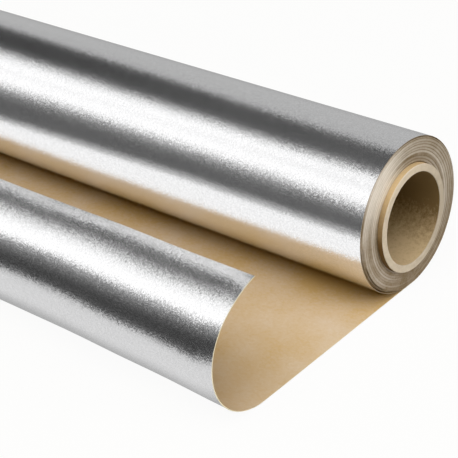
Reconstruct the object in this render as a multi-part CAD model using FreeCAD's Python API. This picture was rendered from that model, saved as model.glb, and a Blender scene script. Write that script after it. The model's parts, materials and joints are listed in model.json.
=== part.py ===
"""Roll of foil-faced kraft paper on a board core, lying on its loose end.

Lengths are in millimetres. X runs along the core's axis, the loose end lies towards -Y and Z is up.
The origin is on the surface that the roll lies on, below the axis, at the middle of the web's width.
Sections are drawn in the YZ plane and extruded along X.
"""
import FreeCAD, Part
import math
import os

# Driving dimensions of the board core
CORE_BORE_RADIUS = 19.0
CORE_WALL = 3.1
CORE_OVERHANG = 3.0  # how far each end of the core stands out past the web's own width

# Driving dimensions of the wound web
WEB_WIDTH = 430.0
SHEET_THICKNESS = 0.2
ROLL_RADIUS = 32.6
BODY_SHIFT = 0.6  # how far the wound body has wandered along the core, past the outer turns
OUTER_TURNS = 2  # turns at the outside that stay in line with the loose end

# The roll's own weight presses a narrow flat on its underside
FLAT_HALF_WIDTH = 2.5
FLAT_BLEND_RADIUS = 12.0

# Turns that sit back from their neighbours draw the winding on the end faces
TURNS_BETWEEN_LINES = 3
TURNS_IN_LINE = 2
LINE_DEPTH = 0.4

# The outermost turn has sprung away from the body low on its front
LOOSE_TURN_SPAN = 90.0  # degrees about the axis
LOOSE_TURN_TO_FLAT = 8.0  # degrees between the loose stretch and the arc beside the flat
LOOSE_TURN_GAP = 0.6

# The loose end runs flat from below the axis, then curls up and back over itself
FLAT_RUN = 95.0
CURL_RADIUS = 26.1
CURL_TURN = 143.0  # degrees
EDGE_RADIUS = 46.3
EDGE_TURN = 23.0  # degrees

# Worked out from the driving dimensions
CORE_OUTER_RADIUS = CORE_BORE_RADIUS + CORE_WALL
CORE_LENGTH = WEB_WIDTH + 2 * CORE_OVERHANG
BLEND_TO_AXIS = ROLL_RADIUS - FLAT_BLEND_RADIUS
BLEND_TURN = math.degrees(math.asin(FLAT_HALF_WIDTH / BLEND_TO_AXIS))
AXIS_HEIGHT = FLAT_BLEND_RADIUS + math.sqrt(BLEND_TO_AXIS**2 - FLAT_HALF_WIDTH**2)
BODY_INSET = OUTER_TURNS * SHEET_THICKNESS
LINE_WIDTH = TURNS_IN_LINE * SHEET_THICKNESS
LINE_PITCH = TURNS_BETWEEN_LINES * SHEET_THICKNESS + LINE_WIDTH
RIGHT_END = WEB_WIDTH / 2
LEFT_END = -WEB_WIDTH / 2

# Angles about the axis, in degrees from +Y towards +Z
BOTTOM = 270.0
RIGHT_OF_BOTTOM = BOTTOM - 360.0


def point(y, z):
    """A point of a section."""
    return FreeCAD.Vector(0, y, z)


AXIS = point(0, AXIS_HEIGHT)


def polar(centre, radius, degrees):
    """The point at an angle about a centre."""
    angle = math.radians(degrees)
    return centre + point(radius * math.cos(angle), radius * math.sin(angle))


def arc(centre, radius, start, end):
    """An arc about a centre, from one angle to another."""
    middle = polar(centre, radius, (start + end) / 2)
    return Part.Arc(polar(centre, radius, start), middle, polar(centre, radius, end)).toShape()


def line(start, end):
    """A straight edge."""
    return Part.LineSegment(start, end).toShape()


def extruded(edges, x_start, x_end):
    """The solid between two planes across the axis, over the section that a closed run of edges bounds."""
    face = Part.Face(Part.Wire(Part.__sortEdges__(edges)))
    face.translate(FreeCAD.Vector(x_start, 0, 0))
    return face.extrude(FreeCAD.Vector(x_end - x_start, 0, 0))


def axis_cylinder(radius, x_start, x_end):
    """A cylinder about the core's axis, between two planes across it."""
    start = AXIS + FreeCAD.Vector(x_start, 0, 0)
    return Part.makeCylinder(radius, x_end - x_start, start, FreeCAD.Vector(1, 0, 0))


def settled_round(inset):
    """The roll's outline, moved inwards by inset: a circle that ends in a tighter arc at each side of the flat."""
    back = point(FLAT_HALF_WIDTH, FLAT_BLEND_RADIUS)
    front = point(-FLAT_HALF_WIDTH, FLAT_BLEND_RADIUS)
    blend = FLAT_BLEND_RADIUS - inset
    return [
        arc(back, blend, RIGHT_OF_BOTTOM, RIGHT_OF_BOTTOM + BLEND_TURN),
        arc(AXIS, ROLL_RADIUS - inset, RIGHT_OF_BOTTOM + BLEND_TURN, BOTTOM - BLEND_TURN),
        arc(front, blend, BOTTOM - BLEND_TURN, BOTTOM),
        line(point(-FLAT_HALF_WIDTH, inset), point(FLAT_HALF_WIDTH, inset)),
    ]


def loose_end():
    """The sheet from below the axis to its free edge: a flat run, then two arcs that turn it up and back."""
    curl_centre = point(-FLAT_RUN, CURL_RADIUS)
    curl_end = BOTTOM - CURL_TURN
    edge_centre = polar(curl_centre, CURL_RADIUS - EDGE_RADIUS, curl_end)
    edge_end = curl_end - EDGE_TURN
    root = line(point(FLAT_HALF_WIDTH, 0), point(FLAT_HALF_WIDTH, SHEET_THICKNESS))
    free_edge = line(
        polar(edge_centre, EDGE_RADIUS, edge_end),
        polar(edge_centre, EDGE_RADIUS - SHEET_THICKNESS, edge_end),
    )
    edges = [root, free_edge]
    for side in (0, SHEET_THICKNESS):
        edges.append(line(point(FLAT_HALF_WIDTH, side), point(-FLAT_RUN, side)))
        edges.append(arc(curl_centre, CURL_RADIUS - side, BOTTOM, curl_end))
        edges.append(arc(edge_centre, EDGE_RADIUS - side, curl_end, edge_end))
    return extruded(edges, LEFT_END, RIGHT_END)


def loose_turn_gap():
    """The thin space behind the outermost turn, between its own arc and the flatter arc of the body."""
    radius = ROLL_RADIUS - SHEET_THICKNESS
    end = BOTTOM - BLEND_TURN - LOOSE_TURN_TO_FLAT
    start = end - LOOSE_TURN_SPAN
    deepest = polar(AXIS, radius - LOOSE_TURN_GAP, (start + end) / 2)
    body_side = Part.Arc(polar(AXIS, radius, start), deepest, polar(AXIS, radius, end)).toShape()
    turn_side = arc(AXIS, radius, start, end)
    return extruded([body_side, turn_side], LEFT_END - BODY_SHIFT, RIGHT_END + BODY_SHIFT)


def winding_line():
    """The section of the turns that sit back: a spiral band of half circles.

    Each half circle is half a pitch smaller than the one before. Their centres are in turn on the axis and
    half a pitch above it, so that each meets the next smoothly.
    """
    start_radius = AXIS_HEIGHT - BODY_INSET - LINE_PITCH
    room = start_radius - CORE_OUTER_RADIUS - LINE_WIDTH
    half_turns = int(room / (LINE_PITCH / 2))
    sides = []
    for side in (0, LINE_WIDTH):
        halves = []
        for half in range(half_turns):
            on_front = half % 2
            centre = AXIS + point(0, on_front * LINE_PITCH / 2)
            start = RIGHT_OF_BOTTOM + 180 * on_front
            halves.append(arc(centre, start_radius - half * LINE_PITCH / 2 - side, start, start + 180))
        sides.append(halves)
    outer, inner = sides
    start_cap = line(outer[0].firstVertex(True).Point, inner[0].firstVertex(True).Point)
    end_cap = line(outer[-1].lastVertex(True).Point, inner[-1].lastVertex(True).Point)
    return outer + inner + [start_cap, end_cap]


def core_tube():
    """The board tube that the web is wound on."""
    ends = (-CORE_LENGTH / 2, CORE_LENGTH / 2)
    return axis_cylinder(CORE_OUTER_RADIUS, *ends).cut(axis_cylinder(CORE_BORE_RADIUS, *ends))


def foil_paper_web():
    """The whole sheet, from its first turn on the core to its free edge, as one solid."""
    roll = extruded(settled_round(0), LEFT_END, RIGHT_END)
    web = roll.fuse(loose_end())

    # Every turn is as wide as the web, so the body stands out at one end by what it sits back at the other
    body = settled_round(BODY_INSET)
    web = web.fuse(extruded(body, RIGHT_END, RIGHT_END + BODY_SHIFT))
    web = web.cut(extruded(body, LEFT_END, LEFT_END + BODY_SHIFT))

    # The turns of the winding line sit back at the right end, and stand out by as much at the left end
    turns = winding_line()
    web = web.cut(extruded(turns, RIGHT_END + BODY_SHIFT - LINE_DEPTH, RIGHT_END + BODY_SHIFT))
    web = web.fuse(extruded(turns, LEFT_END + BODY_SHIFT - LINE_DEPTH, LEFT_END + BODY_SHIFT))

    web = web.cut(loose_turn_gap())
    web = web.cut(axis_cylinder(CORE_OUTER_RADIUS, LEFT_END - BODY_SHIFT, RIGHT_END + BODY_SHIFT))
    return web.removeSplitter()


def main():
    """Builds each piece, writes it under its node's name and prints what it measures."""
    os.makedirs("parts", exist_ok=True)
    for build in (core_tube, foil_paper_web):
        name = build.__name__
        solids = build().Solids
        shape = solids[0] if len(solids) == 1 else Part.makeCompound(solids)
        shape.exportStep(os.path.join("parts", name + ".step"))
        print(name, "solids:", len(solids), "valid:", shape.isValid(), "mm3:", round(shape.Volume, 1))


main()
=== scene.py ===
"""Roll of foil-faced kraft paper: the looks of its board core and its web, and a small studio around it.

Lengths are in metres, in the frame of the CAD model: X along the core, the loose end towards -Y, Z up.
Angles about the core's axis run from +Y towards +Z, and sections are drawn in the YZ plane.
"""

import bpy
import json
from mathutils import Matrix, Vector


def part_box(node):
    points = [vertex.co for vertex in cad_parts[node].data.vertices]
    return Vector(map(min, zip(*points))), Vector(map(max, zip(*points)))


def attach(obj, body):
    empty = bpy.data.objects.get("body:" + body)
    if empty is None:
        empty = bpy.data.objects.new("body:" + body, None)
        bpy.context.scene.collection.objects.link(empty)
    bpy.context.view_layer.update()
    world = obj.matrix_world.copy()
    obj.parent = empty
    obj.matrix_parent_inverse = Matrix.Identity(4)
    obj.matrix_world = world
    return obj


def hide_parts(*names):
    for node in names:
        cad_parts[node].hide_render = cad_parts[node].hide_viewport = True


bl_info = {
    "name": "Foil paper roll",
    "version": (1, 0, 0),
    "blender": (4, 5, 0),
    "location": "3D View > Sidebar > Foil roll",
    "description": "Makes the board core, the foil-faced kraft web and the studio of a paper roll",
    "category": "Add Mesh",
}

import json
import math
from collections import namedtuple

import bmesh
import bpy
import numpy as np
from bpy.props import FloatProperty, FloatVectorProperty, IntProperty, PointerProperty
from mathutils import Matrix

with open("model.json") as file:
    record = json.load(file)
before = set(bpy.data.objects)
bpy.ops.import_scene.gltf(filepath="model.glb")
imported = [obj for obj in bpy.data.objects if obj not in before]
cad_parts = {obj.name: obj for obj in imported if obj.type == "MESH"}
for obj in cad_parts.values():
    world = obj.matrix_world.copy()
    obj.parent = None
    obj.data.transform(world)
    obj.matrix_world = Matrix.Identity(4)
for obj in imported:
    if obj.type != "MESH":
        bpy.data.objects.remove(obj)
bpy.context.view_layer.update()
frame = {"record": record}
CORE_LOW, CORE_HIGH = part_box("core_tube")
WEB_LOW, WEB_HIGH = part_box("foil_paper_web")
CORE_BORE = next(mount for mount in frame["record"]["mounts"] if mount["name"] == "core_bore")
AXIS_HEIGHT = CORE_BORE["pos_m"][2]
MM = 0.001

# Faces of a mesh point to these places in its list of materials
FOIL, KRAFT, SHEET_EDGE, WOUND_EDGE = range(4)
CORE_SKIN, CORE_CUT, CORE_LINING = range(3)

# Points on the round part of the outermost turn, and the clearance between that turn and the body below it
TURN_POINTS = 140
TURN_CLEARANCE = 0.03 * MM

# Tone of the wound ends all over, and stretches of painted sheen (lighter) and painted shade (darker),
# each as angle in degrees, sharpness and gain
END_TONE = 0.12
END_PAINTED_SHEEN_AND_SHADE = ((132, 5, 0.85), (222, 8, 0.1), (268, 6, -0.28), (20, 3, 0.3))

CAMERA_PLACE = (532.9 * MM, -447.3 * MM, 357.7 * MM)
WHITE = (1, 1, 1, 1)

# Look of a paper: scales of its cloudy and its fine pattern, contrast, roughness, and relief in metres
Grain = namedtuple("Grain", "cloud fibre contrast roughness relief")


def colour(description, red, green, blue):
    """A colour property with its default in linear light."""
    return FloatVectorProperty(
        name=description,
        description=description,
        subtype="COLOR",
        size=3,
        min=0,
        max=1,
        default=(red, green, blue),
    )


def length(name, description, metres):
    """A length property."""
    return FloatProperty(name=name, description=description, unit="LENGTH", precision=5, default=metres)


def angle(name, description, degrees):
    """An angle property."""
    return FloatProperty(name=name, description=description, subtype="ANGLE", default=math.radians(degrees))


class CoreLooks(bpy.types.PropertyGroup):
    """Sizes and colours of the board core."""

    bore_radius: length("Bore radius", "Radius of the core's inside", CORE_BORE["dims"]["r_mm"] * MM)
    outer_radius: length("Outer radius", "Radius of the core's outside", CORE_HIGH.z - AXIS_HEIGHT)
    total_length: length("Length", "Length of the core", CORE_HIGH.x - CORE_LOW.x)
    edge_rounding: length("Edge rounding", "How far the cut edges are worn round", 0.35 * MM)
    plies: IntProperty(name="Plies", description="Layers of board seen in the cut ends", default=7, min=1)
    ply_step: length("Ply step", "Depth of the lines between the plies", 0.05 * MM)
    squeeze: length("Squeeze", "How far the core is pressed narrower and taller than round", 0.75 * MM)
    drift: length("Drift", "How far the core lies low and towards the loose end", 0.35 * MM)
    # The darker tones of the outer ply, the cut ends and the lining also carry painted shade, by ramps in the
    # materials
    skin_colour: colour("Colour of the outer ply", 0.61, 0.455, 0.29)
    skin_shade: colour("Darker tone of the outer ply", 0.15, 0.085, 0.035)
    cut_colour: colour("Colour of the cut ends", 0.62, 0.545, 0.505)
    lining_colour: colour("Colour of the inner ply", 0.57, 0.44, 0.30)
    lining_shade: colour("Darker tone of the inner ply", 0.18, 0.12, 0.06)


class WebLooks(bpy.types.PropertyGroup):
    """Sizes and colours of the foil-faced sheet."""

    roll_radius: length("Roll radius", "Radius of the outermost turn", WEB_HIGH.z - AXIS_HEIGHT)
    width: length("Web width", "Width of the sheet, along the core", -2 * WEB_LOW.x)
    thickness: length("Sheet thickness", "Thickness of the sheet", 0.2 * MM)
    body_shift: length(
        "Body shift", "How far the wound body stands out past the loose end", WEB_HIGH.x + WEB_LOW.x
    )
    flat_half_width: length("Flat half width", "Half the width of the flat under the roll", 2.5 * MM)
    flat_blend: length("Flat blend", "Radius of the arc beside the flat", 12 * MM)
    flat_run: length("Flat run", "From below the axis to where the curl starts", 95 * MM)
    curl_radius: length("Curl radius", "Radius of the curl", 26.1 * MM)
    curl_turn: angle("Curl turn", "How far the curl turns", 143)
    edge_radius: length("Edge radius", "Radius of the gentler stretch at the free edge", 46.3 * MM)
    edge_turn: angle("Edge turn", "How far the gentler stretch turns", 23)
    rise: length("Rise", "How far the outer turns have sprung up at the top", 0.4 * MM)
    flare: FloatProperty(
        name="Flare", description="How much smaller the curl is away from its near end", default=0.045
    )
    flare_pull: length("Flare pull", "How much nearer to the roll the smaller curl starts", 3.1 * MM)
    flare_reach: length("Flare reach", "How far from the near end the curl widens", 120 * MM)
    gap: length("Loose turn gap", "Largest gap behind the outermost turn", 0.6 * MM)
    gap_start: angle("Gap start", "Where the outermost turn leaves the body", 165)
    gap_end: angle("Gap end", "Where the outermost turn meets the body again", 255)
    ripple: length("Ripple", "Height of the soft waves in the loose end", 0.16 * MM)
    line_pitch: length("Line pitch", "Space between the lines on the wound ends", 1.15 * MM)
    line_depth: length("Line depth", "Depth of the lines on the wound ends", 0.12 * MM)
    rim_depth: length("Rim depth", "Depth of the gap beside the outermost turn", 1.1 * MM)
    burr: length("Burr", "How far the cut edges of the loose end stand out", 0.12 * MM)
    grain_size: length("Grain size", "Size of the foil's grain", 0.26 * MM)
    grain_tilt: FloatProperty(name="Grain tilt", description="How far the foil's grains lean", default=0.105)
    patch_size: length("Patch size", "Size of the foil's larger grain", 0.42 * MM)
    patch_tilt: FloatProperty(name="Patch tilt", description="How far the larger grains lean", default=0.045)
    foil_colour: colour("Colour of the foil", 0.93, 0.93, 0.935)
    foil_bounce: colour("Colour of the light that the foil throws on the paper", 0.32, 0.21, 0.05)
    kraft_colour: colour("Colour of the kraft side", 0.71, 0.605, 0.555)
    # kraft_shade also serves as painted shade, laid on by the kraft's ramps in the curl and the trough
    kraft_shade: colour("Darker tone of the kraft side", 0.60, 0.412, 0.192)
    edge_colour: colour("Colour of the sheet's cut edges", 0.85, 0.80, 0.71)
    # The wound ends' two tones also carry painted sheen and painted shade, by the turn_tone attribute
    wound_colour: colour("Colour of the wound ends", 0.86, 0.80, 0.79)
    wound_shade: colour("Darker tone of the wound ends", 0.18, 0.12, 0.055)


class StudioLooks(bpy.types.PropertyGroup):
    """Camera and light of the studio."""

    azimuth: angle("Camera azimuth", "From -Y towards +X", 42.88)
    elevation: angle("Camera elevation", "Above the horizon", 30.75)
    roll: angle("Camera roll", "Turn about the line of sight", 5.35)
    lens: FloatProperty(name="Lens", description="Focal length in millimetres", default=125.52)
    fill_colour: colour("Colour of the light from all round", 0.47, 0.41, 0.15)
    key_power: FloatProperty(name="Key power", description="Power of the key lamp in watts", default=17.0)
    side_power: FloatProperty(name="Side power", description="Power of the lamp beside the core", default=5.5)
    floor_colour: colour("Colour of the floor", 0.70, 0.70, 0.70)
    floor_lift: FloatProperty(
        name="Floor lift", description="Share of plain white in the floor seen", default=0.95
    )


def polar(centre, radius, angles):
    """Points of a circle in the YZ plane: centre plus radius times the cosine and sine of each angle."""
    return np.asarray(centre) + radius * np.column_stack((np.cos(angles), np.sin(angles)))


def soft_noise(seed, terms, *coordinates):
    """Repeatable smooth noise of about unit height: a sum of sines with random directions and phases."""
    rng = np.random.default_rng(seed)
    total = 0.0
    for _ in range(terms):
        weights = rng.normal(size=len(coordinates))
        angle_here = sum(weight * place for weight, place in zip(weights, coordinates))
        total = total + np.sin(angle_here + rng.uniform(0, 2 * np.pi))
    return total / math.sqrt(terms / 2)


def grid_faces(rows, columns, around=False):
    """Quads of a grid whose vertices run row by row; around joins the last row to the first."""
    last = rows if around else rows - 1
    row, column = np.meshgrid(np.arange(last), np.arange(columns - 1), indexing="ij")
    following = (row + 1) % rows
    corners = (
        row * columns + column,
        following * columns + column,
        following * columns + column + 1,
        row * columns + column + 1,
    )
    return np.stack(corners, axis=-1).reshape(-1, 4)


def made_mesh(name, vertices, faces, slots, materials, tones=None):
    """A mesh object from arrays: doubles merged, faces turned outwards and tones kept as an attribute."""
    mesh = bpy.data.meshes.new(name)
    mesh.from_pydata(vertices.reshape(-1, 3).tolist(), [], faces.tolist())
    mesh.polygons.foreach_set("material_index", slots.astype(np.int32))
    mesh.polygons.foreach_set("use_smooth", np.ones(len(faces), dtype=bool))
    if tones is not None:
        attribute = mesh.attributes.new("turn_tone", "FLOAT", "POINT")
        attribute.data.foreach_set("value", tones.astype(np.float32).ravel())
    for material in materials:
        mesh.materials.append(material)
    shape = bmesh.new()
    shape.from_mesh(mesh)
    bmesh.ops.remove_doubles(shape, verts=shape.verts, dist=1e-6)
    bmesh.ops.dissolve_degenerate(shape, edges=shape.edges, dist=1e-6)
    bmesh.ops.recalc_face_normals(shape, faces=shape.faces)
    shape.to_mesh(mesh)
    shape.free()
    mesh.update()
    piece = bpy.data.objects.new(name, mesh)
    bpy.context.scene.collection.objects.link(piece)
    return piece


def sharpen(piece, degrees):
    """Marks edges sharper than an angle, so that smooth shading stops at them."""
    piece.data.set_sharp_from_angle(angle=math.radians(degrees))


def pressed(core, web, y, z, share):
    """The roll's section in its true, slightly pressed shape, from places about the axis in the round one.

    share runs from 0 at the core to 1 at the outermost turn. The core's part is y less and z more by one
    proportion, then moved by the drift, and the outside's part lifts the upper half by rise times z over the
    radius.
    """
    near_core = 1 - share
    proportion = core.squeeze / core.outer_radius * near_core
    upper = np.clip(z, 0, None) / np.maximum(np.hypot(y, z), MM)
    moved_y = y * (1 - proportion) - core.drift * near_core
    moved_z = z * (1 + proportion) - core.drift * near_core + web.rise * upper * share
    return moved_y, moved_z


def turn_noise(seed, per_turn, along):
    """Random heights along the winding, so many for each turn, joined by straight lines."""
    count = math.ceil(np.max(along) * per_turn) + 2
    heights = np.random.default_rng(seed).normal(size=count)
    return np.interp(along * per_turn, np.arange(count), heights)


def sheet_line(web, flare=0.0, pull=0.0):
    """The foil side of the outermost turn and the loose end, and the directions square to it.

    The line is a chain of arcs whose angles fall: round the roll from its hidden inner end, the tighter arc
    beside the flat, the straight run, the curl and the gentler stretch at the free edge. flare makes the curl
    smaller by that share, and pull shortens the run before it.
    """
    curl_radius = web.curl_radius * (1 - flare)
    edge_radius = web.edge_radius * (1 - flare)
    flat_run = web.flat_run - pull
    axis = (0.0, AXIS_HEIGHT)
    lean = math.asin(web.flat_half_width / (web.roll_radius - web.flat_blend))
    bottom = math.radians(270)
    hidden_start = math.radians(259)
    blend_points, run_points, curl_points, edge_points = 4, 34, 50, 14
    blend_centre = (web.flat_half_width, web.flat_blend)
    curl_end = bottom - web.curl_turn
    curl_centre = np.array((-flat_run, curl_radius))
    reach = curl_radius - edge_radius
    edge_centre = curl_centre + reach * np.array((math.cos(curl_end), math.sin(curl_end)))
    arcs = (
        (axis, web.roll_radius, hidden_start, bottom - 2 * math.pi + lean, TURN_POINTS),
        (blend_centre, web.flat_blend, lean - math.pi / 2, -math.pi / 2, blend_points),
        (curl_centre, curl_radius, bottom, curl_end, curl_points),
        (edge_centre, edge_radius, curl_end, curl_end - web.edge_turn, edge_points),
    )
    points, directions = [], []
    for place, (centre, radius, start, end, count) in enumerate(arcs):
        angles = np.linspace(start, end, count)
        if place == 2:
            run = np.linspace(web.flat_half_width, -flat_run, run_points)[1:-1]
            points.append(np.column_stack((run, np.zeros_like(run))))
            directions.append(np.column_stack((np.zeros_like(run), -np.ones_like(run))))
        if place in (1, 3):
            angles = angles[1:]
        arc = polar(centre, radius, angles)
        if place == 0:
            arc[:, 1] += web.rise * np.clip(np.sin(angles), 0, None)
        points.append(arc)
        directions.append(np.column_stack((np.cos(angles), np.sin(angles))))
    return np.vstack(points), np.vstack(directions)


def bell(angles, centre, sharpness):
    """A bump of 1 at its centre, in degrees: e to the sharpness times one less than the cosine from it."""
    return np.exp(sharpness * (np.cos(angles - math.radians(centre)) - 1))


def turn_edge_tone(outward):
    """Tone of the outermost turn's cut edge, from the directions square to it: dark, but for one bell."""
    # dark is painted shade along the cut edge, and the bell is a painted glint
    dark, lighter, centre, sharpness = 0.1, 0.45, 165, 8
    return dark + lighter * bell(np.arctan2(outward[:, 1], outward[:, 0]), centre, sharpness)


def loose_sheet(web):
    """Vertices, faces, material places and tones of the outermost turn and loose end, a closed thin sheet.

    A point lies on the sheet's line, less the sheet's thickness on the kraft side, plus a ripple along the
    line's direction. The ripple is soft noise that grows from nothing at the roll to its full height, and
    only lifts the stretch on the floor. The line goes from its full size at the near end to the smaller curl
    over the flare's reach, by a quarter of a sine. The sheet's own cut edge on the roll is dark painted
    shade, apart from a painted glint with the shape of a bell, and on the loose end it is pale.
    """
    side_margin, columns_across = 0.5 * MM, 45
    ripple_growth, wave_across, wave_along, wave_seed, waves_summed = 60 * MM, 26 * MM, 21 * MM, 3, 9
    burr_start, burr_growth = 1.15 * web.flat_run, 15 * MM
    floor_facing, floor_share, plain_tone = -0.97, 0.5, 0.5
    line, outward = sheet_line(web)
    smaller, _ = sheet_line(web, web.flare, web.flare_pull)
    steps = np.linalg.norm(np.diff(line, axis=0), axis=1)
    run = np.concatenate(([0], np.cumsum(steps)))
    past_roll = run - run[TURN_POINTS + 1]
    half = web.width / 2
    inner_edge = half - side_margin
    across = np.concatenate(([-half], np.linspace(-inner_edge, inner_edge, columns_across), [half]))
    away = np.clip(past_roll / ripple_growth, 0, 1)[:, None]
    waves = soft_noise(wave_seed, waves_summed, across[None, :] / wave_across, run[:, None] / wave_along)
    lift = away * web.ripple * waves
    on_floor = (outward[:, 1] < floor_facing)[:, None]
    lift = np.where(on_floor, -np.abs(lift) * floor_share, lift)
    raised = np.clip((past_roll - burr_start) / burr_growth, 0, 1)[:, None]
    burr = web.burr * raised * (np.abs(across) > inner_edge + side_margin / 2)[None, :]
    inland = np.sin(np.pi / 2 * np.clip((half - across) / web.flare_reach, 0, 1))[None, :, None]
    lines = line[:, None, :] + inland * (smaller - line)[:, None, :]
    sides = []
    for offset in (lift + burr, lift - burr - web.thickness):
        flat = lines + outward[:, None, :] * offset[:, :, None]
        x = np.broadcast_to(across[None, :, None], flat.shape[:2] + (1,))
        sides.append(np.concatenate((x, flat), axis=2))
    count = len(line)
    loop = np.concatenate((sides[0], sides[1][::-1]), axis=0)
    faces = grid_faces(2 * count, len(across), around=True)
    rows = np.repeat(np.arange(2 * count), len(across) - 1)
    slots = np.where(rows < count - 1, FOIL, KRAFT)
    slots = np.where((rows == count - 1) | (rows == 2 * count - 1), SHEET_EDGE, slots)
    place = np.arange(count - 1)
    ends = []
    for column in (0, len(across) - 1):
        outer = place * len(across) + column
        inner = (2 * count - 1 - place) * len(across) + column
        ends.append(np.column_stack((outer, outer + len(across), inner - len(across), inner)))
    faces = np.vstack([faces] + ends)
    end_slots = np.where(place < TURN_POINTS - 1, WOUND_EDGE, SHEET_EDGE)
    slots = np.concatenate((slots, end_slots, end_slots))
    # The roll's cut edge gets painted shade with one painted glint, and the loose end's gets a plain tone
    tones = np.where(np.arange(count) < TURN_POINTS - 1, turn_edge_tone(outward), plain_tone)
    tones = np.repeat(np.concatenate((tones, tones[::-1])), len(across))
    return loop, faces, slots, tones


def looseness(web, angles):
    """A parabola over the stretch where the outermost turn is loose: 1 at its middle, 0 at its ends."""
    middle = (web.gap_start + web.gap_end) / 2
    half = (web.gap_end - web.gap_start) / 2
    return np.clip(1 - ((np.mod(angles, 2 * np.pi) - middle) / half) ** 2, 0, None)


def body_outline(web, angles):
    """Radius of the wound body at each angle: the roll's less the outermost turn, less the gap where that
    turn is loose, and cut off by the plane on which the lowest turn lies.
    """
    radius = web.roll_radius - web.thickness - TURN_CLEARANCE - web.gap * looseness(web, angles)
    floor_radius = (AXIS_HEIGHT - web.thickness - TURN_CLEARANCE) / np.maximum(-np.sin(angles), 1e-3)
    return np.minimum(radius, floor_radius)


def wound_end(core, web, side):
    """One end face of the wound body, as rows of points that follow the turns in a spiral.

    The radius grows by one pitch for each turn, wanders by up to a ninth of a pitch along the winding, and is
    kept between the core and the body's outline. Four rows make one line: a groove and three points of the
    land beside it. Each land leans outwards and stands out by random heights along the winding, and a few
    grooves open up over part of a turn. Two deeper grooves, the rim and the second, lie beside the outermost
    turn. The tone is an even tone, noise and the bells of painted sheen and painted shade, less the painted
    shade laid in the grooves, the openings, the rim and the second.
    """
    core_radius = core.outer_radius
    per_line, around = 4, 300
    wander_height, wander_most, opening_level, opening_gain = 0.1, 0.11, 1.1, 2.5
    # Random tone, and the shares of tone taken as painted shade in the openings, the grooves and the rim
    noise_tone, opening_painted_shade, groove_painted_shade, rim_painted_shade = 0.12, 0.5, 0.36, 0.9
    land_height, land_lean, core_recess = 0.035 * MM, 0.045 * MM, 0.35 * MM
    rim_width, second_depth, second_width = 0.4 * MM, 0.75 * MM, 0.16 * MM
    lines = math.ceil((web.roll_radius - core_radius) / web.line_pitch) + 2
    row = np.arange(lines * per_line + 1)[:, None]
    column = np.arange(around)[None, :]
    turn = row / per_line - 1 + column / around
    angles = 2 * np.pi * column / around
    outline = body_outline(web, angles)
    along = np.floor(row / per_line) + column / around
    wander = wander_height * turn_noise(seed=31, per_turn=3, along=along)
    wander = np.clip(wander, -wander_most, wander_most)
    radius = np.clip(core_radius + web.line_pitch * (turn + wander), core_radius, outline)
    land = land_height * turn_noise(seed=11, per_turn=5, along=along) - land_lean * (row % per_line)
    opening = np.clip(turn_noise(seed=5, per_turn=4, along=along) - opening_level, 0, 1)
    in_groove = row % per_line == 0
    groove = in_groove * web.line_depth * (1 + opening_gain * opening)
    depth = outline - radius
    rim = np.clip(1 - depth / rim_width, 0, 1)
    second = looseness(web, angles) * np.exp(-(((depth - second_depth) / second_width) ** 2))
    height = land - groove - web.rim_depth * (rim + second)
    height = np.where(radius <= core_radius, -core_recess, height)
    height = np.where(radius >= outline, -web.rim_depth, height)
    face_x = side * web.width / 2 + web.body_shift
    x = face_x + side * height
    share = (radius - core_radius) / (outline - core_radius)
    y, z = pressed(core, web, radius * np.cos(angles), radius * np.sin(angles), share)
    # Painted sheen and painted shade in stretches round the wound end, by angle
    painted_sheen_and_shade = sum(gain * bell(angles, centre, sharpness) for centre, sharpness, gain in END_PAINTED_SHEEN_AND_SHADE)
    tone = END_TONE + painted_sheen_and_shade + noise_tone * turn_noise(seed=21, per_turn=4, along=along)
    # Painted shade in the openings, the grooves, the rim and the second groove
    tone = tone - opening_painted_shade * opening - groove_painted_shade * in_groove - rim_painted_shade * (second + rim)
    points = np.stack((x, y, AXIS_HEIGHT + z), axis=-1)
    return points, np.clip(tone, 0, 1), per_line


def wound_body(core, web):
    """Vertices, faces, material places and tones of the turns below the outermost one, as one closed solid.

    Each end face is a spiral grid. Its last column joins the first one a line further out, and the two
    outlines are joined by the body's outer side, and the two inner rings by its bore.
    """
    vertices, tones, faces, slots = [], [], [], []
    start = 0
    rings = {}
    for side in (-1, 1):
        points, tone, per_line = wound_end(core, web, side)
        rows, columns = points.shape[:2]
        row, column = np.meshgrid(np.arange(rows - 1), np.arange(columns), indexing="ij")
        wraps = column == columns - 1
        next_column = np.where(wraps, 0, column + 1)
        near = np.where(wraps, np.minimum(row + per_line, rows - 1), row)
        far = np.where(wraps, np.minimum(row + 1 + per_line, rows - 1), row + 1)
        corners = (
            row * columns + column,
            (row + 1) * columns + column,
            far * columns + next_column,
            near * columns + next_column,
        )
        quads = np.stack(corners, axis=-1).reshape(-1, 4)
        quads = quads[quads[:, 2] != quads[:, 3]]
        faces.append(quads + start)
        slots.append(np.full(len(quads), WOUND_EDGE))
        vertices.append(points.reshape(-1, 3))
        tones.append(tone.ravel())
        rings[side] = (start + np.arange(columns), start + (rows - 1) * columns + np.arange(columns))
        start += rows * columns
    for place in (0, 1):
        left, right = rings[-1][place], rings[1][place]
        quads = np.column_stack((left, np.roll(left, -1), np.roll(right, -1), right))
        faces.append(quads)
        slots.append(np.full(len(quads), FOIL if place else KRAFT))
    return np.vstack(vertices), np.vstack(faces), np.concatenate(slots), np.concatenate(tones)


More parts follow.
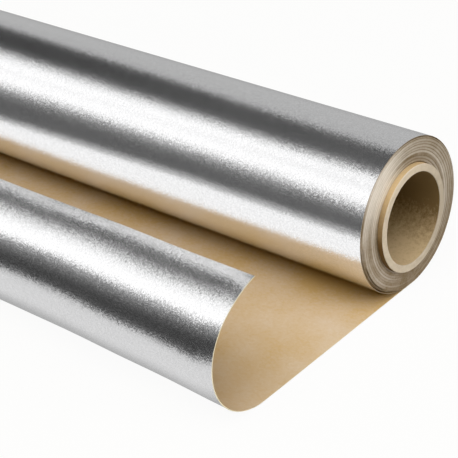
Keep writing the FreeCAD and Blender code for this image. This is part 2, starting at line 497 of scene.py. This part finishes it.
def core_section(core):
    """Half of the core's section as lengths along X, radii and material places, from mid-length outside to
    mid-length inside: straight sides, quarter circles at the cut edges and small steps between the plies.
    """
    corner_points, side_points, per_ply = 5, 12, 3
    worn = core.edge_rounding
    end = core.total_length / 2
    outer_rim, inner_rim = core.outer_radius - worn, core.bore_radius + worn
    turn = np.linspace(0, np.pi / 2, corner_points)
    along = np.linspace(0, end - worn, side_points)[:-1]
    corner_out = np.column_stack((end - worn + worn * np.sin(turn), outer_rim + worn * np.cos(turn)))
    corner_in = np.column_stack((end - worn + worn * np.cos(turn), inner_rim - worn * np.sin(turn)))
    radii = np.linspace(outer_rim, inner_rim, per_ply * core.plies + 1)[1:-1]
    steps = np.where(np.arange(len(radii)) % per_ply == per_ply - 1, core.ply_step, 0.0)
    ring = np.column_stack((end - steps, radii))
    outside = np.column_stack((along, np.full(len(along), core.outer_radius)))
    inside = np.column_stack((along[::-1], np.full(len(along), core.bore_radius)))
    section = np.vstack((outside, corner_out, ring, corner_in, inside))
    cut = len(corner_out) + len(ring) + len(corner_in) - 1
    lining = len(section) - 1 - len(outside) - cut
    return section, np.repeat((CORE_SKIN, CORE_CUT, CORE_LINING), (len(outside), cut, lining))


def core_surface(core, web):
    """Vertices, faces and material places of the core: its section, mirrored to both ends and turned about
    the axis. A point lies at its radius times the cosine along Y and times the sine above the axis, and is
    then pressed as the roll is.
    """
    columns = 241
    section, slots = core_section(core)
    mirrored = section[::-1] * (-1, 1)
    loop = np.vstack((section, mirrored[1:-1]))
    slots = np.concatenate((slots, slots[::-1]))
    around = np.linspace(0, 2 * np.pi, columns)
    x = np.repeat(loop[:, :1], columns, axis=1)
    y, z = pressed(core, web, loop[:, 1:] * np.cos(around), loop[:, 1:] * np.sin(around), 0.0)
    vertices = np.stack((x, y, AXIS_HEIGHT + z), axis=-1)
    faces = grid_faces(len(loop), columns, around=True)
    return vertices, faces, np.repeat(slots, columns - 1)


def new_tree(owner):
    """Clears a material's or a world's nodes and gives the tree."""
    owner.use_nodes = True
    owner.node_tree.nodes.clear()
    return owner.node_tree


def put(tree, kind, **values):
    """Adds a node, setting its plain properties and, by their names, its inputs."""
    node = tree.nodes.new(kind)
    inputs = values.pop("inputs", {})
    for key, value in values.items():
        setattr(node, key, value)
    for key, value in inputs.items():
        node.inputs[key].default_value = value
    return node


def maths(tree, operation, *terms, clamp=False):
    """Adds a Math node whose terms are sockets or numbers, and gives its result."""
    node = put(tree, "ShaderNodeMath", operation=operation, use_clamp=clamp)
    for place, term in enumerate(terms):
        if isinstance(term, float):
            node.inputs[place].default_value = term
        else:
            tree.links.new(term, node.inputs[place])
    return node.outputs[0]


def ramp_along(tree, axis, start, end, start_level, end_level, curve="LINEAR"):
    """A value that goes from one level to another between two places, in millimetres, along an axis."""
    coordinates = put(tree, "ShaderNodeTexCoord")
    parts = put(tree, "ShaderNodeSeparateXYZ")
    tree.links.new(coordinates.outputs["Object"], parts.inputs[0])
    levels = {"From Min": start * MM, "From Max": end * MM, "To Min": start_level, "To Max": end_level}
    change = put(tree, "ShaderNodeMapRange", interpolation_type=curve, inputs=levels)
    tree.links.new(parts.outputs[axis], change.inputs["Value"])
    return change.outputs["Result"]


def show(tree, surface):
    """Ends a material's tree with the surface that it shows."""
    output = put(tree, "ShaderNodeOutputMaterial")
    tree.links.new(surface, output.inputs["Surface"])


def fibre_group():
    """Node group for paper and board: a mottled mask of cloudy and fine fibre, and its height."""
    group = bpy.data.node_groups.new("paper_fibre", "ShaderNodeTree")
    face = group.interface
    face.new_socket("Vector", in_out="INPUT", socket_type="NodeSocketVector")
    for name, value in (("Cloud scale", 28.0), ("Fibre scale", 700.0), ("Contrast", 1.0)):
        face.new_socket(name, in_out="INPUT", socket_type="NodeSocketFloat").default_value = value
    face.new_socket("Mask", in_out="OUTPUT", socket_type="NodeSocketFloat")
    face.new_socket("Height", in_out="OUTPUT", socket_type="NodeSocketFloat")
    start, end = put(group, "NodeGroupInput"), put(group, "NodeGroupOutput")
    link = group.links.new

    cloud = put(group, "ShaderNodeTexNoise", inputs={"Detail": 5.0, "Roughness": 0.62})
    link(start.outputs["Vector"], cloud.inputs["Vector"])
    link(start.outputs["Cloud scale"], cloud.inputs["Scale"])

    stretch = put(group, "ShaderNodeVectorMath", operation="MULTIPLY", inputs={1: (0.8, 1.0, 1.0)})
    link(start.outputs["Vector"], stretch.inputs[0])
    fibre = put(group, "ShaderNodeTexNoise", inputs={"Detail": 3.0, "Roughness": 0.7, "Distortion": 0.6})
    link(stretch.outputs[0], fibre.inputs["Vector"])
    link(start.outputs["Fibre scale"], fibre.inputs["Scale"])

    fibre_share, middle = 0.55, 0.775
    both = maths(group, "MULTIPLY_ADD", fibre.outputs["Fac"], fibre_share, cloud.outputs["Fac"])
    centred = maths(group, "SUBTRACT", both, middle)
    mask = maths(group, "MULTIPLY_ADD", centred, start.outputs["Contrast"], 0.5, clamp=True)
    link(mask, end.inputs["Mask"])
    link(fibre.outputs["Fac"], end.inputs["Height"])
    return group


def paper_material(name, fibre, light, dark, grain, tone_attribute=None, metallic=0.0, drifts=()):
    """Paper or board: two tones mixed by the fibre mask, with a little relief.

    A tone attribute, where there is one, says how light each place is, painted sheen and shade included, and
    the fibre only mottles it. Each drift paints light and shade along an axis: it is the axis, two places
    along it in millimetres and what is added to the mask at each.
    """
    mottle_share, mottle_shift, tone_share = 0.35, -0.1, 0.9
    material = bpy.data.materials.new(name)
    tree = new_tree(material)
    link = tree.links.new
    coordinates = put(tree, "ShaderNodeTexCoord")
    pattern = put(
        tree,
        "ShaderNodeGroup",
        node_tree=fibre,
        inputs={"Cloud scale": grain.cloud, "Fibre scale": grain.fibre, "Contrast": grain.contrast},
    )
    link(coordinates.outputs["Object"], pattern.inputs["Vector"])
    mask = pattern.outputs["Mask"]
    if tone_attribute:
        tone = put(tree, "ShaderNodeAttribute", attribute_name=tone_attribute)
        mottle = maths(tree, "MULTIPLY_ADD", mask, mottle_share, mottle_shift)
        mask = maths(tree, "MULTIPLY_ADD", tone.outputs["Fac"], tone_share, mottle, clamp=True)
    for drift in drifts:
        mask = maths(tree, "ADD", mask, ramp_along(tree, *drift), clamp=True)
    tones = put(tree, "ShaderNodeMix", data_type="RGBA", inputs={"A": (*dark, 1), "B": (*light, 1)})
    link(mask, tones.inputs["Factor"])
    bump = put(tree, "ShaderNodeBump", inputs={"Strength": 1.0, "Distance": grain.relief})
    link(pattern.outputs["Height"], bump.inputs["Height"])
    shader = put(
        tree,
        "ShaderNodeBsdfPrincipled",
        inputs={"Roughness": grain.roughness, "Specular IOR Level": 0.06, "Metallic": metallic},
    )
    link(tones.outputs["Result"], shader.inputs["Base Color"])
    link(bump.outputs["Normal"], shader.inputs["Normal"])
    show(tree, shader.outputs["BSDF"])
    return material


def foil_material(web):
    """Satin foil: metal whose roughness drifts a little, and whose fine grain is a mosaic of tiny facets,
    each tilted and toned at random.

    Light that reaches the paper by way of the foil is held down and warmed, as by the paper that the foil
    mirrors there, so that the trough below the roll stays dark and brown.
    """
    material = bpy.data.materials.new("satin_foil")
    tree = new_tree(material)
    link = tree.links.new
    coordinates = put(tree, "ShaderNodeTexCoord")
    drift = put(tree, "ShaderNodeTexNoise", inputs={"Scale": 60.0, "Detail": 4.0})
    link(coordinates.outputs["Object"], drift.inputs["Vector"])
    roughness = {"From Min": 0.3, "From Max": 0.7, "To Min": 0.205, "To Max": 0.235}
    rough = put(tree, "ShaderNodeMapRange", inputs=roughness)
    link(drift.outputs["Fac"], rough.inputs["Value"])

    geometry = put(tree, "ShaderNodeNewGeometry")
    normal = geometry.outputs["Normal"]
    for size, lean_most in ((web.grain_size, web.grain_tilt), (web.patch_size, web.patch_tilt)):
        cells = put(tree, "ShaderNodeTexVoronoi", inputs={"Scale": 1.0 / size})
        link(coordinates.outputs["Object"], cells.inputs["Vector"])
        lean = put(tree, "ShaderNodeVectorMath", operation="SUBTRACT", inputs={1: (0.5, 0.5, 0.5)})
        link(cells.outputs["Color"], lean.inputs[0])
        tilt = put(tree, "ShaderNodeVectorMath", operation="SCALE", inputs={"Scale": lean_most})
        link(lean.outputs["Vector"], tilt.inputs[0])
        tilted = put(tree, "ShaderNodeVectorMath", operation="ADD")
        link(normal, tilted.inputs[0])
        link(tilt.outputs["Vector"], tilted.inputs[1])
        normal = tilted.outputs["Vector"]
    facet = put(tree, "ShaderNodeVectorMath", operation="NORMALIZE")
    link(normal, facet.inputs[0])

    tint = put(tree, "ShaderNodeMapRange", inputs={"To Min": 0.87, "To Max": 1.05})
    link(cells.outputs["Color"], tint.inputs["Value"])
    shade = put(tree, "ShaderNodeVectorMath", operation="SCALE", inputs={0: tuple(web.foil_colour)})
    link(tint.outputs["Result"], shade.inputs["Scale"])
    path = put(tree, "ShaderNodeLightPath")
    onto_paper = maths(tree, "MINIMUM", path.outputs["Diffuse Depth"], 1.0)
    seen = put(tree, "ShaderNodeMix", data_type="RGBA", inputs={"B": (*web.foil_bounce, 1)})
    link(onto_paper, seen.inputs["Factor"])
    link(shade.outputs["Vector"], seen.inputs["A"])

    shader = put(tree, "ShaderNodeBsdfPrincipled", inputs={"Metallic": 1.0})
    link(seen.outputs["Result"], shader.inputs["Base Color"])
    link(rough.outputs["Result"], shader.inputs["Roughness"])
    link(facet.outputs["Vector"], shader.inputs["Normal"])
    show(tree, shader.outputs["BSDF"])
    return material


def shared_fibre():
    """The fibre node group, made once."""
    return bpy.data.node_groups.get("paper_fibre") or fibre_group()


def shaded(tone, share):
    """A colour darkened to a share of itself."""
    return tuple(channel * share for channel in tone)


class FOILROLL_OT_core(bpy.types.Operator):
    """Makes the board core with worn edges and plies in its cut ends"""

    bl_idname = "foilroll.core"
    bl_label = "Board core"

    def execute(self, context):
        core = context.scene.foil_roll_core
        fibre = shared_fibre()
        materials = (
            paper_material(
                "core_skin",
                fibre,
                core.skin_colour,
                core.skin_shade,
                Grain(cloud=60, fibre=900, contrast=0.6, roughness=0.6, relief=0.01 * MM),
                # Painted shade and light: the outer ply darker low down and lighter at its top
                drifts=(("Z", 30, 50, -0.5, 0.4),),
            ),
            paper_material(
                "core_cut_board",
                fibre,
                core.cut_colour,
                shaded(core.cut_colour, 0.74),
                Grain(cloud=300, fibre=1500, contrast=1.6, roughness=0.9, relief=0.05 * MM),
                # Painted shade and light: the cut ends darker towards +Y and lighter at the top
                drifts=(("Y", -10, 22, 0.2, -0.6), ("Z", 42, 54, 0.0, 0.5)),
            ),
            paper_material(
                "core_lining",
                fibre,
                core.lining_colour,
                core.lining_shade,
                Grain(cloud=650, fibre=2000, contrast=1.2, roughness=0.8, relief=0.02 * MM),
                # Painted shade and light: the bore darker at its top and towards +Y, lighter at its bottom
                drifts=(("Z", 13.5, 33, 0.5, -0.55), ("Y", 2, 18, 0.0, -0.26)),
            ),
        )
        vertices, faces, slots = core_surface(core, context.scene.foil_roll_web)
        piece = made_mesh("board_core", vertices, faces, slots, materials)
        sharpen(piece, degrees=50)
        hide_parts("core_tube")
        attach(piece, "root")
        return {"FINISHED"}


class FOILROLL_OT_web(bpy.types.Operator):
    """Makes the wound body, the outermost turn and the loose end of the foil-faced sheet"""

    bl_idname = "foilroll.web"
    bl_label = "Foil-faced web"

    def execute(self, context):
        web = context.scene.foil_roll_web
        core = context.scene.foil_roll_core
        fibre = shared_fibre()
        materials = (
            foil_material(web),
            paper_material(
                "kraft_side",
                fibre,
                web.kraft_colour,
                web.kraft_shade,
                Grain(cloud=26, fibre=750, contrast=1.5, roughness=0.78, relief=0.02 * MM),
                # Painted shade: the kraft darker up the inside of the curl and in the trough beside the roll
                drifts=(("Z", 1, 28, -0.04, -0.7), ("Y", -40, -17, 0.05, -0.32)),
            ),
            paper_material(
                "sheet_edge",
                fibre,
                web.edge_colour,
                shaded(web.edge_colour, 0.8),
                Grain(cloud=200, fibre=1200, contrast=1.5, roughness=0.9, relief=0.02 * MM),
            ),
            paper_material(
                "wound_edge",
                fibre,
                web.wound_colour,
                web.wound_shade,
                Grain(cloud=160, fibre=1100, contrast=1.2, roughness=0.45, relief=0.02 * MM),
                # turn_tone carries painted sheen and painted shade on the wound ends and the outermost turn's
                # cut edge
                tone_attribute="turn_tone",
                metallic=0.4,
            ),
        )
        body, body_faces, body_slots, body_tones = wound_body(core, web)
        sheet, sheet_faces, sheet_slots, sheet_tones = loose_sheet(web)
        vertices = np.vstack((body, sheet.reshape(-1, 3)))
        faces = np.vstack((body_faces, sheet_faces + len(body)))
        slots = np.concatenate((body_slots, sheet_slots))
        tones = np.concatenate((body_tones, sheet_tones))
        piece = made_mesh("foil_faced_web", vertices, faces, slots, materials, tones)
        sharpen(piece, degrees=50)
        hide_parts("foil_paper_web")
        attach(piece, "root")
        return {"FINISHED"}


def seen_directly(tree):
    """1 for camera rays and for what foil shows to the camera, and 0 for light that paper gathers."""
    path = put(tree, "ShaderNodeLightPath").outputs
    shown = maths(tree, "MAXIMUM", path["Is Glossy Ray"], path["Is Transmission Ray"])
    direct = maths(tree, "SUBTRACT", shown, path["Diffuse Depth"], clamp=True)
    return maths(tree, "MAXIMUM", direct, path["Is Camera Ray"])


def seen_or_else(tree, seen, otherwise, factor):
    """Ends a material's tree with one surface where the factor is 1 and another where it is 0."""
    either = put(tree, "ShaderNodeMixShader")
    tree.links.new(factor, either.inputs["Fac"])
    tree.links.new(otherwise.outputs[0], either.inputs[1])
    tree.links.new(seen.outputs[0], either.inputs[2])
    show(tree, either.outputs[0])


def flat_piece(name, corners, material, hidden_from=()):
    """A flat piece of the studio from its corners in metres, which the named kinds of ray pass through."""
    mesh = bpy.data.meshes.new(name)
    mesh.from_pydata(corners, [], [tuple(range(len(corners)))])
    mesh.materials.append(material)
    piece = bpy.data.objects.new(name, mesh)
    for ray in hidden_from:
        setattr(piece, f"visible_{ray}", False)
    bpy.context.scene.collection.objects.link(piece)


def card_material(name, strength, fade):
    """Glows in reflections, and lets the light that paper gathers pass through.

    fade is None, or an axis, the places in millimetres where a change of strength starts and ends, and the
    strength at its end.
    """
    material = bpy.data.materials.new(name)
    tree = new_tree(material)
    clear = put(tree, "ShaderNodeBsdfTransparent")
    glow = put(tree, "ShaderNodeEmission", inputs={"Color": WHITE, "Strength": strength})
    if fade:
        axis, start, end, far_strength = fade
        changing = ramp_along(tree, axis, start, end, strength, far_strength, curve="SMOOTHSTEP")
        tree.links.new(changing, glow.inputs["Strength"])
    seen_or_else(tree, glow, clear, seen_directly(tree))
    return material


def reflection_card(name, corners, strength, fade=None):
    """A flat card that only the foil's reflections see, from its corners in millimetres."""
    places = [tuple(MM * value for value in corner) for corner in corners]
    hidden_from = ("camera", "diffuse", "transmission", "shadow", "volume_scatter")
    flat_piece(name, places, card_material(name, strength, fade), hidden_from)


def upright_card(name, y, lower_edge, upper_edge, strength, fade=None):
    """A card square to Y between two edges, each a row of x and z in millimetres."""
    corners = [(x, y, z) for x, z in lower_edge] + [(x, y, z) for x, z in reversed(upper_edge)]
    reflection_card(name, corners, strength, fade)


def level_card(name, z, front_edge, back_edge, strength, fade=None):
    """A level card between two edges, each a row of x and y in millimetres."""
    corners = [(x, y, z) for x, y in front_edge] + [(x, y, z) for x, y in reversed(back_edge)]
    reflection_card(name, corners, strength, fade)


def studio_world(studio):
    """White to the camera and to reflections, and a softer fill to everything else."""
    world = bpy.data.worlds.new("studio")
    world.cycles.sampling_method = "NONE"
    bpy.context.scene.world = world
    tree = new_tree(world)
    link = tree.links.new
    tones = put(tree, "ShaderNodeMix", data_type="RGBA", inputs={"A": (*studio.fill_colour, 1), "B": WHITE})
    link(seen_directly(tree), tones.inputs["Factor"])
    sky = put(tree, "ShaderNodeBackground")
    link(tones.outputs["Result"], sky.inputs["Color"])
    output = put(tree, "ShaderNodeOutputWorld")
    link(sky.outputs[0], output.inputs["Surface"])


def studio_floor(studio):
    """A wide pale floor that the camera and reflections see lifted, so that it runs into the white."""
    material = bpy.data.materials.new("pale_floor")
    tree = new_tree(material)
    matte = put(tree, "ShaderNodeBsdfDiffuse", inputs={"Color": (*studio.floor_colour, 1)})
    glow = put(tree, "ShaderNodeEmission", inputs={"Color": WHITE, "Strength": 1.0})
    seen_or_else(tree, glow, matte, maths(tree, "MULTIPLY", seen_directly(tree), studio.floor_lift))
    half, drop = 4.0, -0.25 * MM
    corners = [(-half, -half, drop), (half, -half, drop), (half, half, drop), (-half, half, drop)]
    flat_piece("floor", corners, material)


def dark_drape():
    """A dark sheet behind the roll that only the light gathered by paper meets: it keeps the inside of the
    curl from being lit as brightly as the flat stretch.
    """
    dark = (0.03, 0.03, 0.03, 1)
    material = bpy.data.materials.new("dark_cloth")
    tree = new_tree(material)
    cloth = put(tree, "ShaderNodeBsdfDiffuse", inputs={"Color": dark})
    show(tree, cloth.outputs[0])
    low, high, left, right, y = 0.1, 1.0, -1.5, 0.45, 0.35
    corners = [(left, y, low), (right, y, low), (right, y, high), (left, y, high)]
    flat_piece("drape", corners, material, ("camera", "glossy", "transmission", "shadow", "volume_scatter"))


def studio_lamp(name, place, target, size, power):
    """A large soft lamp that shines from one point towards another, and that neither camera nor foil sees."""
    data = bpy.data.lights.new(name, "AREA")
    data.shape = "RECTANGLE"
    data.size, data.size_y = size
    data.energy = power
    lamp = bpy.data.objects.new(name, data)
    back = np.subtract(place, target) / np.linalg.norm(np.subtract(place, target))
    right = np.cross((0, 0, 1), back)
    right = right / np.linalg.norm(right)
    up = np.cross(back, right)
    turn = Matrix((tuple(right), tuple(up), tuple(back))).transposed().to_4x4()
    lamp.matrix_world = Matrix.Translation(place) @ turn
    lamp.visible_camera = False
    lamp.visible_glossy = False
    bpy.context.scene.collection.objects.link(lamp)


def studio_camera(studio):
    """The camera at the photograph's view. Right, up and back are built from azimuth and elevation, then
    turned about the line of sight by the roll.
    """
    azimuth, elevation, roll = studio.azimuth, studio.elevation, studio.roll
    heading = np.array((-math.sin(azimuth), math.cos(azimuth), 0.0))
    forward = heading * math.cos(elevation) - (0.0, 0.0, math.sin(elevation))
    level = np.array((math.cos(azimuth), math.sin(azimuth), 0.0))
    down = np.cross(forward, level)
    right = math.cos(roll) * level + math.sin(roll) * down
    up = math.sin(roll) * level - math.cos(roll) * down
    data = bpy.data.cameras.new("camera")
    data.lens = studio.lens
    data.sensor_width = 36.0
    data.clip_start, data.clip_end = 0.01, 50.0
    camera = bpy.data.objects.new("camera", data)
    turn = Matrix((tuple(right), tuple(up), tuple(-forward))).transposed().to_4x4()
    camera.matrix_world = Matrix.Translation(CAMERA_PLACE) @ turn
    bpy.context.scene.collection.objects.link(camera)
    bpy.context.scene.camera = camera


class FOILROLL_OT_studio(bpy.types.Operator):
    """Makes the floor, the light, the reflection cards and the camera"""

    bl_idname = "foilroll.studio"
    bl_label = "Studio"

    def execute(self, context):
        studio = context.scene.foil_roll_studio
        studio_world(studio)
        studio_floor(studio)
        studio_lamp("key_lamp", (0.45, -0.6, 1.35), (0.1, -0.05, 0.0), (1.6, 1.1), studio.key_power)
        studio_lamp("side_lamp", (1.4, 0.35, 0.55), (0.2, 0.0, 0.03), (0.6, 0.4), studio.side_power)
        dark_drape()
        dark, trough, floor_top = 0.05, -45, 0.5
        upright_card("back_wall", 950, ((-4000, 0), (2500, 0)), ((-4000, 2400), (2500, 2400)), 0.49)
        level_card(
            "top_flag",
            1000,
            ((-3000, 200), (600, 0)),
            ((-3000, 1660), (600, 40)),
            dark,
            ("X", -950, -450, 0.1),
        )
        level_card(
            "high_flag",
            3000,
            ((-9000, 600), (-2900, -350), (-2000, -660), (-1100, -920), (3000, -2000)),
            ((-9000, 3000), (3000, 3000)),
            dark,
            ("X", -2800, -1300, 0.11),
        )
        level_card(
            "flag_fringe",
            2990,
            ((-9000, 400), (-2900, -550), (-2000, -870), (-1100, -1140), (3000, -2200)),
            ((-9000, 800), (-2900, -200), (-2000, -510), (-1100, -770), (3000, -1850)),
            0.45,
        )
        level_card("back_floor", floor_top, ((-4000, 40), (2500, 40)), ((-4000, 949), (2500, 949)), 0.43)
        level_card("soft_box", 1300, ((-3500, -1900), (1500, -1900)), ((-3500, -480), (1500, -480)), 1.2)
        upright_card(
            "front_flag",
            -228,
            ((-1500, 0.5), (400, 0.5)),
            ((-1500, 152), (0, 153), (30, 157), (58, 148), (90, 126), (110, 114), (400, 90)),
            dark,
            ("Z", 45, 165, 0.36),
        )
        level_card(
            "flag_foot",
            1,
            ((-400, -229), (400, -229)),
            ((-400, -225), (0, -217), (45, -206), (141, -182), (400, -160)),
            dark,
        )
        boundary = ((-500, 19), (0, 30.2), (110, 35.4), (400, 37))
        upright_card(
            "trough_fringe",
            -44.9,
            ((-500, 16.8), (0, 28), (110, 33.2), (400, 34.8)),
            ((-500, 21.2), (0, 32.4), (110, 37.6), (400, 39.2)),
            0.42,
        )
        upright_card("trough_shade", trough, boundary, ((-500, 48.5), (400, 48.5)), 0.12)
        lower_edge = ((-500, 0.5), (40, 0.5), (110, 5), (190, 10), (400, 13))
        upright_card("trough_light", trough, lower_edge, boundary, 1.0)
        level_card(
            "edge_light",
            120,
            ((-500, -80), (55, -81), (142, -83), (400, -84)),
            ((-500, -66), (55, -65), (142, -60), (400, -55)),
            1.0,
        )
        level_card(
            "floor_shade",
            floor_top,
            ((-1500, -420), (600, -420)),
            ((-1500, -104), (600, -104)),
            0.74,
            ("Y", -126, -108, 0.45),
        )
        studio_camera(studio)
        context.scene.view_settings.view_transform = "Standard"
        return {"FINISHED"}


class FOILROLL_PT_panel(bpy.types.Panel):
    """Lists the makers of the roll's pieces and of its studio"""

    bl_label = "Foil roll"
    bl_idname = "FOILROLL_PT_panel"
    bl_space_type = "VIEW_3D"
    bl_region_type = "UI"
    bl_category = "Foil roll"

    def draw(self, context):
        for looks, operator in (
            (context.scene.foil_roll_core, FOILROLL_OT_core),
            (context.scene.foil_roll_web, FOILROLL_OT_web),
            (context.scene.foil_roll_studio, FOILROLL_OT_studio),
        ):
            box = self.layout.box()
            box.operator(operator.bl_idname)
            for name in looks.__annotations__:
                box.prop(looks, name)


CLASSES = (
    CoreLooks,
    WebLooks,
    StudioLooks,
    FOILROLL_OT_core,
    FOILROLL_OT_web,
    FOILROLL_OT_studio,
    FOILROLL_PT_panel,
)


def register():
    """Registers the classes and puts the sizes and colours on the scene."""
    for each in CLASSES:
        bpy.utils.register_class(each)
    bpy.types.Scene.foil_roll_core = PointerProperty(type=CoreLooks)
    bpy.types.Scene.foil_roll_web = PointerProperty(type=WebLooks)
    bpy.types.Scene.foil_roll_studio = PointerProperty(type=StudioLooks)


def unregister():
    """Takes the classes and the scene's properties away again."""
    del bpy.types.Scene.foil_roll_core
    del bpy.types.Scene.foil_roll_web
    del bpy.types.Scene.foil_roll_studio
    for each in reversed(CLASSES):
        bpy.utils.unregister_class(each)


def main():
    """Makes every piece and the studio."""
    register()
    bpy.ops.foilroll.core()
    bpy.ops.foilroll.web()
    bpy.ops.foilroll.studio()


if __name__ == "__main__":
    main()
